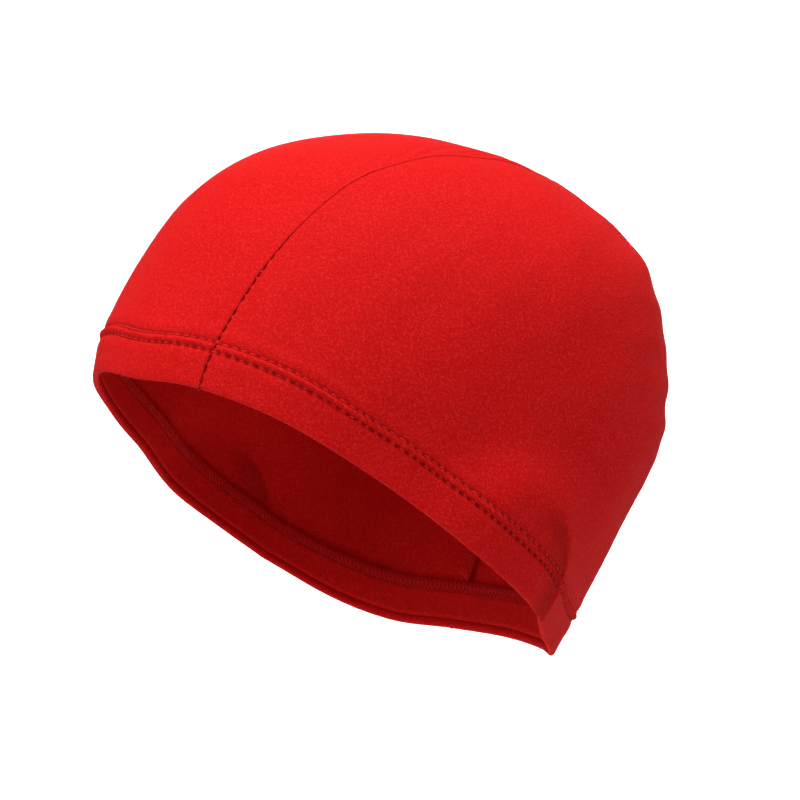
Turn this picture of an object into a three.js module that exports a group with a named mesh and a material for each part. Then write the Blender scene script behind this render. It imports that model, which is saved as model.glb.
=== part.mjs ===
// A three-panel stretch-knit swim cap, in the shape that a head gives it when it is worn.
// Millimetres, +Z up. The wearer faces -Y and their left side is +X.
// The origin is the inside of the crown, where it sits on the top of the head.

import * as THREE from 'three';
import { mergeVertices } from 'three/addons/utils/BufferGeometryUtils.js';

const { smoothstep, lerp, degToRad, radToDeg } = THREE.MathUtils;

// Reaches of the outside of the worn cap from its apex
const FRONT_REACH = 100;
const BACK_REACH = 98;
const SIDE_REACH = 80;
const DEPTH = 170;

// Cloth, hem and seams
const CLOTH_THICKNESS = 1.0;
const HEM_THICKNESS = 2.2;
const HEM_HEIGHT = 15;
const SEAM_GAP = 0.3;
const CENTRE_WIDTH = 60;

// Plan of each section: narrower at the brow than at the back, and a little squared
const EGG = 0.05;
const SQUARENESS = 0.02;
const PLAIN_LEVELS = 2;

// Sections down the crown, as shares of the four reaches. The first is the apex, and a point's
// level is its place in this table.
const SECTIONS = [
  { depth: 0.000, front: 0.00, back: 0.00, side: 0.00 },
  { depth: 0.034, front: 0.39, back: 0.38, side: 0.40 },
  { depth: 0.118, front: 0.62, back: 0.70, side: 0.69 },
  { depth: 0.247, front: 0.80, back: 0.94, side: 0.89 },
  { depth: 0.412, front: 0.94, back: 1.02, side: 0.98 },
  { depth: 0.588, front: 0.98, back: 1.00, side: 1.00 },
  { depth: 0.765, front: 0.98, back: 0.81, side: 0.96 },
  { depth: 1.000, front: 0.95, back: 0.60, side: 0.80 },
];

// Lower edge from the brow (0 degrees) round the ear to the nape (180), as a share of the depth
const EDGE = [
  { angle: 0, depth: 0.443 },
  { angle: 20, depth: 0.447 },
  { angle: 40, depth: 0.497 },
  { angle: 60, depth: 0.603 },
  { angle: 80, depth: 0.724 },
  { angle: 100, depth: 0.832 },
  { angle: 120, depth: 0.936 },
  { angle: 140, depth: 0.990 },
  { angle: 160, depth: 0.998 },
  { angle: 180, depth: 0.998 },
];

// The left seam on the plan of levels, from the brow over the crown to the nape
const SEAM = [
  { left: 1.70, back: -4.70 },
  { left: 1.56, back: -4.28 },
  { left: 1.52, back: -3.95 },
  { left: 1.44, back: -3.40 },
  { left: 1.29, back: -1.90 },
  { left: 1.13, back: -0.90 },
  { left: 0.95, back: 0.10 },
  { left: 0.93, back: 1.00 },
  { left: 1.08, back: 2.20 },
  { left: 1.34, back: 3.80 },
  { left: 1.72, back: 5.30 },
  { left: 2.50, back: 6.70 },
];

// The pull of the temple makes the hem taller there: by how much, at what angle and how wide
const HEM_PULL = { share: 0.15, angle: 54, spread: 24 };

// The ear under the cloth of each side: the middle of its rim and how far the rim lifts the cloth.
// Past each reach the cloth comes back to the head over its fall, from a crease (1) or softly (0).
const EAR = {
  back: -3,
  down: 132,
  lift: 4.5,
  rear: { reach: 20, fall: 26, crease: 1 },
  front: { reach: 14, fall: 36, crease: 0 },
  top: { reach: 26, fall: 18, crease: 0.4 },
  bottom: { reach: 20, fall: 16, crease: 1 },
};

// Where the side panels' grids turn a corner on the edge, and how finely each piece is divided
const GRID_CORNERS = { front: 55, back: 125 };
const PANEL_GRID = { along: 30, across: 18, through: 1 };
const CENTRE_GRID = { along: 36, across: 8, through: 1 };
const LONG_HEM_GRID = { along: 34, across: 5, through: 2 };
const SHORT_HEM_GRID = { along: 10, across: 5, through: 2 };
const HALVINGS = 40;
const FULL_TURN = 360;

const KNIT = { color: 0xd6241f, roughness: 0.85, metalness: 0 };

// Smooth curve through rows b and c, guided by their neighbours
function between(a, b, c, d, share) {
  const bend = 2 * a - 5 * b + 4 * c - d;
  const twist = 3 * b - a - 3 * c + d;
  return b + 0.5 * share * (c - a + share * (bend + share * twist));
}

// The place between low and high where a rising function reaches a value
function placeOf(value, low, high, rising) {
  for (let i = 0; i < HALVINGS; i += 1) {
    const middle = (low + high) / 2;
    if (rising(middle) < value) low = middle;
    else high = middle;
  }
  return (low + high) / 2;
}

// The crown is round at its apex: past it the depths come back and the reaches change sign
function sectionShare(column, level) {
  const last = SECTIONS.length - 1;
  const index = Math.min(Math.floor(level), last - 1);
  const first = SECTIONS[1][column] * (column === 'depth' ? 1 : -1);
  const end = 2 * SECTIONS[last][column] - SECTIONS[last - 1][column];
  const row = (i) => (i < 0 ? first : i > last ? end : SECTIONS[i][column]);
  return between(row(index - 1), row(index), row(index + 1), row(index + 2), level - index);
}

function levelAtDepth(depth) {
  const share = depth / DEPTH;
  return placeOf(share, 0, SECTIONS.length - 1, (level) => sectionShare('depth', level));
}

// How far an angle is turned from the brow, to either side
function turnFromBrow(angle) {
  return radToDeg(Math.acos(Math.cos(degToRad(angle))));
}

// Depth of the lower edge, the same on both sides of the head
function edgeDepth(angle) {
  const turned = turnFromBrow(angle);
  const last = EDGE.length - 1;
  const index = Math.min(EDGE.findLastIndex((row) => row.angle <= turned), last - 1);
  const share = (turned - EDGE[index].angle) / (EDGE[index + 1].angle - EDGE[index].angle);
  const row = (i) => EDGE[i < 0 ? -i : i > last ? 2 * last - i : i].depth;
  return DEPTH * between(row(index - 1), row(index), row(index + 1), row(index + 2), share);
}

// A point of the plan: its distance from the middle is its level, and brow is down
function planPoint(angle, level) {
  const turned = degToRad(angle);
  return new THREE.Vector2(level * Math.sin(turned), -level * Math.cos(turned));
}

function angleOf(plan) {
  return radToDeg(Math.atan2(plan.x, -plan.y));
}

// Height of a line over the lower edge, which follows the hem where it is pulled taller
function pulledRise(angle, rise) {
  const away = (turnFromBrow(angle) - HEM_PULL.angle) / HEM_PULL.spread;
  return rise * (1 + HEM_PULL.share * Math.exp(-(away ** 2)));
}

// The line that runs a given rise above the lower edge
function risenLine(angle, rise) {
  return planPoint(angle, levelAtDepth(edgeDepth(angle) - pulledRise(angle, rise)));
}

// The bare crown over a point of the plan
function crownPoint(plan) {
  const level = plan.length();
  const angle = degToRad(angleOf(plan));
  const ease = smoothstep(level, 0, PLAIN_LEVELS);
  const front = FRONT_REACH * sectionShare('front', level);
  const back = BACK_REACH * sectionShare('back', level);
  const side = SIDE_REACH * sectionShare('side', level);
  const square = 1 + SQUARENESS * ease * Math.sin(2 * angle) ** 2;
  const narrow = 1 - EGG * ease * Math.cos(angle);
  return new THREE.Vector3(
    side * Math.sin(angle) * narrow * square,
    (back - front) / 2 - ((back + front) / 2) * Math.cos(angle) * square,
    CLOTH_THICKNESS - DEPTH * sectionShare('depth', level),
  );
}

function crownNormal(plan) {
  const step = 0.001;
  const slope = (x, y) => {
    const ahead = crownPoint(new THREE.Vector2(plan.x + x, plan.y + y));
    return ahead.sub(crownPoint(new THREE.Vector2(plan.x - x, plan.y - y)));
  };
  return slope(step, 0).cross(slope(0, step)).normalize();
}

// How far the ear lifts the cloth at a point of the crown
function earLift(point) {
  if (Math.abs(point.x) < SIDE_REACH / 2) return 0;
  const along = point.y - EAR.back;
  const up = point.z + EAR.down;
  const level = along > 0 ? EAR.rear : EAR.front;
  const upright = up > 0 ? EAR.top : EAR.bottom;
  const away = Math.hypot(along / level.reach, up / upright.reach);
  if (away <= 1) return EAR.lift;
  const blend = (up / upright.reach / away) ** 2;
  const past = (Math.hypot(along, up) * (1 - 1 / away)) / lerp(level.fall, upright.fall, blend);
  if (past >= 1) return 0;
  const soft = 1 - smoothstep(past, 0, 1);
  return EAR.lift * lerp(soft, (1 - past) ** 2, lerp(level.crease, upright.crease, blend));
}

// A point of the cloth, at a given depth in from its outside
function clothPoint(plan, inset) {
  const point = crownPoint(plan);
  return point.addScaledVector(crownNormal(plan), earLift(point) - inset);
}

// The left seam, and the places where it crosses a line above the edge
const seam = new THREE.SplineCurve(SEAM.map((row) => new THREE.Vector2(row.left, row.back)));

function seamPlace(end, rise) {
  const above = (place) => {
    const plan = seam.getPoint(place);
    const angle = angleOf(plan);
    const line = edgeDepth(angle) - pulledRise(angle, rise);
    return DEPTH * sectionShare('depth', plan.length()) - line;
  };
  const crown = 0.5;
  if (end === 'back') return placeOf(0, crown, 1, above);
  return crown - placeOf(0, 0, crown, (place) => above(crown - place));
}

function seamAngle(end, rise) {
  return angleOf(seam.getPoint(seamPlace(end, rise)));
}

// The stretch of the left seam between the hems, as a share of its way from the front
const PANEL_RISE = HEM_HEIGHT + SEAM_GAP;
const seamFront = seamPlace('front', PANEL_RISE);
const seamBack = seamPlace('back', PANEL_RISE);

function seamEdge(share) {
  return seam.getPoint(lerp(seamFront, seamBack, share));
}

function mirrored(plan) {
  return new THREE.Vector2(-plan.x, plan.y);
}

function panelEdge(fromAngle, toAngle) {
  return (share) => risenLine(lerp(fromAngle, toAngle, share), PANEL_RISE);
}

// A four-sided patch of the plan: near and far run front to back, front and back run across
function patch({ near, far, front, back }) {
  return (along, across) => {
    const point = new THREE.Vector2();
    point.addScaledVector(near(along), 1 - across);
    point.addScaledVector(far(along), across);
    point.addScaledVector(front(across), 1 - along);
    point.addScaledVector(back(across), along);
    point.addScaledVector(near(0), -(1 - along) * (1 - across));
    point.addScaledVector(near(1), -along * (1 - across));
    point.addScaledVector(far(0), -(1 - along) * across);
    return point.addScaledVector(far(1), -along * across);
  };
}

// Turns every face over if the body was mirrored
function facedOutwards(geometry) {
  const spots = geometry.attributes.position;
  const corners = geometry.index.array;
  const [a, b, c] = [new THREE.Vector3(), new THREE.Vector3(), new THREE.Vector3()];
  let volume = 0;
  for (let i = 0; i < corners.length; i += 3) {
    a.fromBufferAttribute(spots, corners[i]);
    b.fromBufferAttribute(spots, corners[i + 1]);
    c.fromBufferAttribute(spots, corners[i + 2]);
    volume += a.dot(b.cross(c));
  }
  if (volume < 0) corners.reverse();
  return geometry;
}

// A box divided by a grid, with each corner of the grid put in its place on the cap
function warpedBox(grid, place) {
  const box = new THREE.BoxGeometry(1, 1, 1, grid.along, grid.across, grid.through);
  box.deleteAttribute('normal');
  box.deleteAttribute('uv');
  const body = mergeVertices(box);
  const spots = body.attributes.position;
  for (let i = 0; i < spots.count; i += 1) {
    const point = place(spots.getX(i) + 0.5, spots.getY(i) + 0.5, spots.getZ(i) + 0.5);
    spots.setXYZ(i, point.x, point.y, point.z);
  }
  const geometry = facedOutwards(body);
  geometry.computeVertexNormals();
  return geometry;
}

// Each side stands half the gap off the seam, and the centre draws in by the other half
function besideSeam(point) {
  point.x += SEAM_GAP / 2;
  return point;
}

function insideSeams(point) {
  point.x *= 1 - SEAM_GAP / CENTRE_WIDTH;
  return point;
}

function sidePanel() {
  const { front, back } = GRID_CORNERS;
  const plan = patch({
    near: seamEdge,
    far: panelEdge(front, back),
    front: panelEdge(seamAngle('front', PANEL_RISE), front),
    back: panelEdge(seamAngle('back', PANEL_RISE), back),
  });
  return warpedBox(PANEL_GRID, (along, across, inset) =>
    besideSeam(clothPoint(plan(along, across), inset * CLOTH_THICKNESS)));
}

function centrePanel() {
  const front = seamAngle('front', PANEL_RISE);
  const back = seamAngle('back', PANEL_RISE);
  const plan = patch({
    near: (share) => mirrored(seamEdge(share)),
    far: seamEdge,
    front: panelEdge(-front, front),
    back: panelEdge(FULL_TURN - back, back),
  });
  return warpedBox(CENTRE_GRID, (along, across, inset) =>
    insideSeams(clothPoint(plan(along, across), inset * CLOTH_THICKNESS)));
}

// A length of the hem, turned up inside, so its lower edge is a round fold
function hem(grid, startAngle, endAngle, settle) {
  const fold = HEM_THICKNESS / 2;
  return warpedBox(grid, (along, up, inset) => {
    const curl = fold - fold * Math.sqrt(1 - (2 * inset - 1) ** 2);
    const rise = lerp(curl, HEM_HEIGHT, up);
    const angle = lerp(startAngle(rise), endAngle(rise), along);
    return settle(clothPoint(risenLine(angle, rise), inset * HEM_THICKNESS));
  });
}

function sideHem() {
  const front = (rise) => seamAngle('front', rise);
  const back = (rise) => seamAngle('back', rise);
  return hem(LONG_HEM_GRID, front, back, besideSeam);
}

function frontHem() {
  const left = (rise) => seamAngle('front', rise);
  return hem(SHORT_HEM_GRID, (rise) => -left(rise), left, insideSeams);
}

function backHem() {
  const left = (rise) => seamAngle('back', rise);
  return hem(SHORT_HEM_GRID, left, (rise) => FULL_TURN - left(rise), insideSeams);
}

// The same piece on the other side of the head
function opposite(geometry) {
  return facedOutwards(geometry.clone().scale(-1, 1, 1));
}

const cap = new THREE.Group();

function addPiece(name, geometry) {
  const piece = new THREE.Mesh(geometry, new THREE.MeshStandardMaterial(KNIT));
  piece.name = name;
  cap.add(piece);
}

const leftPanel = sidePanel();
const leftHem = sideHem();
addPiece('centre_panel', centrePanel());
addPiece('left_panel', leftPanel);
addPiece('right_panel', opposite(leftPanel));
addPiece('front_hem', frontHem());
addPiece('left_hem', leftHem);
addPiece('right_hem', opposite(leftHem));
addPiece('back_hem', backHem());

export default cap;
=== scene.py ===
"""A three-panel stretch-knit swim cap, in the shape that a head gives it when it is worn.

The crown is worked out in millimetres, as the solids are: the wearer faces -Y, their left side is
+X, and the origin is the inside of the crown. A point of the cap has a place on a plan, whose
distance from the middle is its level down the crown. Meshes are made in metres.
"""

import logging
from collections.abc import Callable
from dataclasses import dataclass
from enum import Enum
from functools import partial

import bmesh
import bpy
import numpy as np
from mathutils import Matrix, Vector


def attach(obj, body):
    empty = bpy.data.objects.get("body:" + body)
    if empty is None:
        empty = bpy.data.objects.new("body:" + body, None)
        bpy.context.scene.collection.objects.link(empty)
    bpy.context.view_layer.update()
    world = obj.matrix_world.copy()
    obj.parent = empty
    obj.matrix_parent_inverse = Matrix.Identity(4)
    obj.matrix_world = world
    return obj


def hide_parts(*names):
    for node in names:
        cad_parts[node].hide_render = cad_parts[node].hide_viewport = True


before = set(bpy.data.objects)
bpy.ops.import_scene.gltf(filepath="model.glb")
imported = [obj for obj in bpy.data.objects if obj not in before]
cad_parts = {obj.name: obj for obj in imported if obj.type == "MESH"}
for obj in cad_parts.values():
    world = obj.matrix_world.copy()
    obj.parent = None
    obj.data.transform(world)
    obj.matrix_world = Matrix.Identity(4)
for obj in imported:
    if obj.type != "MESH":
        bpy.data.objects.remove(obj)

Rows = np.ndarray
Pair = tuple[float, float]
Three = tuple[float, float, float]
Four = tuple[float, float, float, float]
Waves = tuple[Three, ...]
Grading = tuple[int, float, float, float, float]
Piece = bpy.types.Object

LOG = logging.getLogger("cap")
METRES = 0.001  # in a millimetre
MILLIMETRES = 1000.0  # in a metre
ROOT = "root"
SIDE_LEAN = 100.0  # how far from straight up a side panel faces, in degrees
KNIT_RADIUS = 0.088  # of the drum that the knit is laid on, in metres
KNIT_MIDDLE = -0.080  # the height of its axis
CAP_MIDDLE = Vector((0, 0, -0.09))


class Side(Enum):
    """The wearer's side of the head that a piece is on."""

    LEFT = 1
    RIGHT = -1

    @property
    def label(self) -> str:
        """The side's name, as pieces carry it."""
        return self.name.lower()


class End(Enum):
    """The end of a seam."""

    FRONT = "front"
    BACK = "back"


def smooth(share: Rows) -> Rows:
    """A soft step from 0 to 1."""
    held = np.clip(share, 0.0, 1.0)
    return held * held * (3.0 - 2.0 * held)


def rising(value: Rows, start: float, width: float) -> Rows:
    """A soft step from 0 at the start to 1 a width further on."""
    return smooth((value - start) / width)


def window(value: Rows, start: float, rise: float, end: float, fall: float) -> Rows:
    """1 from start + rise to end, and 0 before the start and past end + fall."""
    return rising(value, start, rise) * (1 - rising(value, end, fall))


def hill(distance: Rows, width: float) -> Rows:
    """A bell of height 1 over a distance."""
    return np.exp(-(distance / width) ** 2)


def wavering(run: Rows, waves: Waves) -> Rows:
    """A sum of sine waves, each given by its height, its turn for each mm and its start."""
    return sum(height * np.sin(run * turn + start) for height, turn, start in waves)


def between(a: Rows, b: Rows, c: Rows, d: Rows, share: Rows) -> Rows:
    """Smooth curve through rows b and c, guided by their neighbours.

    Args:
        a: The row before.
        b: The row where the curve starts.
        c: The row where it ends.
        d: The row after.
        share: How far along it is, from 0 to 1.

    Returns:
        The curve's points.
    """
    bend = 2 * a - 5 * b + 4 * c - d
    twist = 3 * b - a - 3 * c + d
    return b + 0.5 * share * (c - a + share * (bend + share * twist))


def unit(vectors: Rows) -> Rows:
    """The same directions, each one long."""
    return vectors / np.linalg.norm(vectors, axis=-1, keepdims=True)


def run_along(points: Rows) -> Rows:
    """The distance along a line of points, from its first one."""
    steps = np.linalg.norm(np.diff(points, axis=0), axis=-1)
    return np.concatenate([[0.0], np.cumsum(steps)])


def graded(count: int, near: float, far: float, near_reach: float, far_reach: float) -> Rows:
    """Shares from 0 to 1 that lie closer together at the ends.

    Args:
        count: Number of steps.
        near: How much the first step is shortened, from 0 to 1.
        far: How much the last step is shortened.
        near_reach: Number of steps over which the near end eases out.
        far_reach: The same at the far end.

    Returns:
        count + 1 rising shares.
    """
    place = np.arange(count)
    steps = 1 - near * np.exp(-place / near_reach) - far * np.exp(-(count - 1 - place) / far_reach)
    shares = np.concatenate([[0.0], np.cumsum(steps)])
    return shares / shares[-1]


def linked(name: str, data: bpy.types.ID) -> Piece:
    """A new object of this data, in the scene.

    Args:
        name: The object's name.
        data: Its mesh, curve, light or camera.

    Returns:
        The object, at the origin.
    """
    made = bpy.data.objects.new(name, data)
    bpy.context.scene.collection.objects.link(made)
    return made


@dataclass(frozen=True)
class Crown:
    """The worn cap's form: the outside of its cloth, and the lower edge round it."""

    front_reach: float = 100.0
    back_reach: float = 98.0
    side_reach: float = 80.0
    depth: float = 170.0
    cloth: float = 1.0
    egg: float = 0.05
    squareness: float = 0.02
    plain_levels: float = 2.0
    # Depth, front, back and side of the section at each level, as shares of the reaches.
    sections: tuple[Four, ...] = (
        (0.000, 0.00, 0.00, 0.00),
        (0.034, 0.39, 0.38, 0.40),
        (0.118, 0.62, 0.70, 0.69),
        (0.247, 0.80, 0.94, 0.89),
        (0.412, 0.94, 1.02, 0.98),
        (0.588, 0.98, 1.00, 1.00),
        (0.765, 0.98, 0.81, 0.96),
        (1.000, 0.95, 0.60, 0.80),
    )
    # Angles from the brow, and the lower edge's depth there as a share.
    edge: tuple[Pair, ...] = (
        (0, 0.443),
        (20, 0.447),
        (40, 0.497),
        (60, 0.603),
        (80, 0.724),
        (100, 0.832),
        (120, 0.936),
        (140, 0.990),
        (160, 0.998),
        (180, 0.998),
    )
    pull: float = 0.15
    pull_angle: float = 54.0
    pull_spread: float = 24.0
    ear_back: float = -3.0
    ear_down: float = 132.0
    ear_lift: float = 4.5
    ear_round: float = 0.8
    # Rear, front, top and bottom of the ear's rim, in mm or as a share.
    ear_reach: Four = (20.0, 14.0, 26.0, 20.0)
    ear_fall: Four = (26.0, 36.0, 18.0, 16.0)
    ear_crease: Four = (1.0, 0.0, 0.4, 1.0)
    # The fold in front of the rim, which sinks and has shade painted in it: shares of its reach,
    # and where it starts and ends in mm.
    fold_band: Four = (0.35, 0.6, 0.97, 0.09)
    fold_rear: Pair = (1.0, 9.0)
    fold_top: Pair = (24.0, 12.0)
    fold_droop: float = 1.5

    def shares(self, level: Rows) -> Rows:
        """Depth, front, back and side of the section at each level, as shares of the reaches.

        Args:
            level: Levels down the crown, from 0 at the apex.

        Returns:
            Four shares for each level.
        """
        rows = np.array(self.sections)
        table = np.vstack([rows[1] * (1, -1, -1, -1), rows, 2 * rows[-1] - rows[-2]])
        index = np.minimum(np.floor(level).astype(int), len(rows) - 2)
        share = (level - index)[..., None]
        near, far = table[index + 1], table[index + 2]
        return between(table[index], near, far, table[index + 3], share)

    def level_at(self, depth: Rows) -> Rows:
        """The level that lies at a depth below the apex."""
        levels = np.linspace(0, len(self.sections) - 1, 6001)
        return np.interp(depth / self.depth, self.shares(levels)[..., 0], levels)

    @staticmethod
    def turned(angle: Rows) -> Rows:
        """How far an angle is turned from the brow, to either side, in degrees."""
        return np.degrees(np.arccos(np.clip(np.cos(np.radians(angle)), -1, 1)))

    def edge_depth(self, angle: Rows) -> Rows:
        """Depth of the lower edge at an angle in degrees, the same on both sides of the head.

        Args:
            angle: Angles from the brow.

        Returns:
            Depths below the apex, in millimetres.
        """
        turned = self.turned(angle)
        angles, depths = np.array(self.edge).T
        last = len(angles) - 1
        index = np.clip(np.searchsorted(angles, turned, side="right") - 1, 0, last - 1)
        share = (turned - angles[index]) / (angles[index + 1] - angles[index])
        table = np.concatenate([[depths[1]], depths, [depths[-2]]])
        rows = [table[index + step] for step in range(4)]
        return self.depth * between(*rows, share)

    @staticmethod
    def plan(angle: Rows, level: Rows) -> Rows:
        """The place on the plan at an angle in degrees and a level."""
        turned = np.radians(angle)
        return np.stack([level * np.sin(turned), -level * np.cos(turned)], -1)

    @staticmethod
    def angle(plan: Rows) -> Rows:
        """The angle of a place, in degrees from the brow, with the wearer's left at 90."""
        return np.degrees(np.arctan2(plan[..., 0], -plan[..., 1]))

    def pulled(self, angle: Rows) -> Rows:
        """How many times taller than elsewhere the temple's pull makes the hem at an angle."""
        return 1 + self.pull * hill(self.turned(angle) - self.pull_angle, self.pull_spread)

    def risen(self, angle: Rows, rise: Rows) -> Rows:
        """The place that lies a given rise above the lower edge, as the hem is pulled."""
        return self.plan(angle, self.level_at(self.edge_depth(angle) - rise * self.pulled(angle)))

    def rise(self, plan: Rows) -> Rows:
        """How far a place lies above the lower edge, as the hem is pulled.

        Args:
            plan: Places on the plan.

        Returns:
            Rises in millimetres, less than 0 below the edge.
        """
        level = np.hypot(plan[..., 0], plan[..., 1])
        angle = self.angle(plan)
        fall = self.edge_depth(angle) - self.depth * self.shares(level)[..., 0]
        return fall / self.pulled(angle)

    def bare(self, plan: Rows) -> Rows:
        """The crown's point over each place, before the ears lift it.

        Args:
            plan: Places on the plan.

        Returns:
            Points in millimetres.
        """
        level = np.hypot(plan[..., 0], plan[..., 1])
        turned = np.arctan2(plan[..., 0], -plan[..., 1])
        ease = smooth(level / self.plain_levels)
        reaches = (self.depth, self.front_reach, self.back_reach, self.side_reach)
        depth, front, back, side = np.moveaxis(self.shares(level) * reaches, -1, 0)
        square = 1 + self.squareness * ease * np.sin(2 * turned) ** 2
        narrow = 1 - self.egg * ease * np.cos(turned)
        across = side * np.sin(turned) * narrow * square
        along = (back - front) / 2 - (back + front) / 2 * np.cos(turned) * square
        return np.stack([across, along, self.cloth - depth], -1)

    def normal(self, plan: Rows) -> Rows:
        """The crown's outward direction over each place.

        Args:
            plan: Places on the plan.

        Returns:
            Directions, each one long.
        """
        step = 0.001
        right, ahead = np.array([step, 0.0]), np.array([0.0, step])
        slope_x = self.bare(plan + right) - self.bare(plan - right)
        slope_y = self.bare(plan + ahead) - self.bare(plan - ahead)
        return unit(np.cross(slope_x, slope_y))

    def over_crown(self, point: Rows) -> Rows:
        """Whether each point lies too near the middle of the head for an ear."""
        return np.abs(point[..., 0]) < self.side_reach / 2

    def ear_fold(self, point: Rows) -> Rows:
        """1 just inside the rear of the ear's rim, where the cloth sinks and shade is painted on
        it, fading to 0 inwards.

        Args:
            point: Points of the plain cloth, in millimetres.

        Returns:
            Shares from 0 to 1.
        """
        along = point[..., 1] - self.ear_back
        up = point[..., 2] + self.ear_down
        rear, _, top, bottom = self.ear_reach
        away = np.hypot(along / rear, up / np.where(up > 0, top, bottom * self.fold_droop))
        high, fade = self.fold_top
        where = rising(along, *self.fold_rear) * smooth((high - up) / fade)
        return np.where(self.over_crown(point), 0.0, window(away, *self.fold_band) * where)

    def ear(self, point: Rows) -> Rows:
        """How far the rim of the ear lifts the cloth. The rim's line is a little rounded.

        Args:
            point: Points of the plain cloth, in millimetres.

        Returns:
            Lifts in millimetres.
        """
        along = point[..., 1] - self.ear_back
        up = point[..., 2] + self.ear_down
        behind, above = along > 0, up > 0

        def choose(values: Four) -> tuple[Rows, Rows]:
            rear, front, top, bottom = values
            return np.where(behind, rear, front), np.where(above, top, bottom)

        level_reach, upright_reach = choose(self.ear_reach)
        level_fall, upright_fall = choose(self.ear_fall)
        level_crease, upright_crease = choose(self.ear_crease)
        away = np.maximum(np.hypot(along / level_reach, up / upright_reach), 1e-6)
        blend = (up / upright_reach / away) ** 2
        past = np.hypot(along, up) * (1 - 1 / away)
        rounded = (past + np.hypot(past, self.ear_round)) / 2
        share = np.clip(rounded / (level_fall + (upright_fall - level_fall) * blend), 0, 1)
        crease = level_crease + (upright_crease - level_crease) * blend
        soft = 1 - smooth(share)
        lift = self.ear_lift * (soft + ((1 - share) ** 2 - soft) * crease)
        return np.where(self.over_crown(point), 0.0, lift)

    def cloth_at(self, plan: Rows, lift: Rows | float = 0.0) -> Rows:
        """The outside of the cloth over each place, moved out along the crown by a lift.

        Args:
            plan: Places on the plan.
            lift: How far to move out, in millimetres.

        Returns:
            Points in millimetres.
        """
        point = self.bare(plan)
        out = self.ear(point) + lift
        return point + self.normal(plan) * np.asarray(out)[..., None]


@dataclass
class Seam:
    """The line where the left side panel meets the centre, from brow to nape."""

    crown: Crown
    # Places on the plan.
    line: tuple[Pair, ...] = (
        (1.70, -4.70),
        (1.56, -4.28),
        (1.52, -3.95),
        (1.44, -3.40),
        (1.29, -1.90),
        (1.13, -0.90),
        (0.95, 0.10),
        (0.93, 1.00),
        (1.08, 2.20),
        (1.34, 3.80),
        (1.72, 5.30),
        (2.50, 6.70),
    )
    gap: float = 0.06
    samples: int = 900
    coarse_step: int = 30
    fine_reach: float = 22.0
    chunk: int = 2000

    def __post_init__(self) -> None:
        """Follows the seam from edge to edge."""
        half = np.linspace(0.5, 1.0, 4001)
        self._places = {End.FRONT: 1 - half, End.BACK: half}
        self._depths = {end: -self.crown.rise(self.at(at)) for end, at in self._places.items()}
        low, high = self.place(End.FRONT, 0.0), self.place(End.BACK, 0.0)
        self.places = np.linspace(low, high, self.samples)
        self.points = self.crown.cloth_at(self.at(self.places))
        self.run = run_along(self.points)
        self.way = unit(np.gradient(self.points, axis=0))

    def at(self, place: Rows) -> Rows:
        """The plan's place at a share of the seam's way.

        Args:
            place: Shares of the way from brow to nape.

        Returns:
            Places on the plan.
        """
        points = np.array(self.line)
        last = len(points) - 1
        spot = np.asarray(place, float) * last
        index = np.minimum(np.floor(spot).astype(int), last - 1)
        rows = [points[np.clip(index + step, 0, last)] for step in (-1, 0, 1, 2)]
        return between(*rows, (spot - index)[..., None])

    def place(self, end: End, rise: Rows | float) -> Rows:
        """Where the seam crosses the line at a rise above the edge."""
        return np.interp(-np.asarray(rise, float), self._depths[end], self._places[end])

    def angle(self, end: End, rise: Rows | float) -> Rows:
        """The angle at which the seam crosses the line at a rise."""
        return self.crown.angle(self.at(self.place(end, rise)))

    def ends(self, rise: Rows | float) -> tuple[Rows, Rows]:
        """The angles at which the seam crosses the line at a rise, at the brow and the nape."""
        return self.angle(End.FRONT, rise), self.angle(End.BACK, rise)

    def between_hems(self, shares: Rows, rise: float) -> Rows:
        """Places along the seam from one hem's top to the other's."""
        front, back = self.place(End.FRONT, rise), self.place(End.BACK, rise)
        return self.at(front + (back - front) * shares)

    def near(self, points: Rows) -> tuple[Rows, Rows]:
        """How far each point lies from the seam, and how far along it.

        Args:
            points: Points of the left side of the crown, in rows.

        Returns:
            Distances from the seam, and runs along it from the brow's edge.
        """
        flat = points.reshape(-1, 3)
        coarse = self.points[:: self.coarse_step]
        rough = np.min(np.linalg.norm(flat[:, None] - coarse[None], axis=-1), axis=1)
        distance, run = rough.copy(), np.zeros(len(flat))
        close = np.flatnonzero(rough < self.fine_reach)
        for chunk in np.array_split(close, max(1, len(close) // self.chunk)):
            spots = flat[chunk]
            index = np.argmin(np.linalg.norm(spots[:, None] - self.points[None], axis=-1), axis=1)
            gap = spots - self.points[index]
            ahead = np.sum(gap * self.way[index], axis=-1)
            distance[chunk] = np.linalg.norm(gap - ahead[:, None] * self.way[index], axis=-1)
            run[chunk] = self.run[index] + ahead
        return distance.reshape(points.shape[:-1]), run.reshape(points.shape[:-1])


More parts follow.
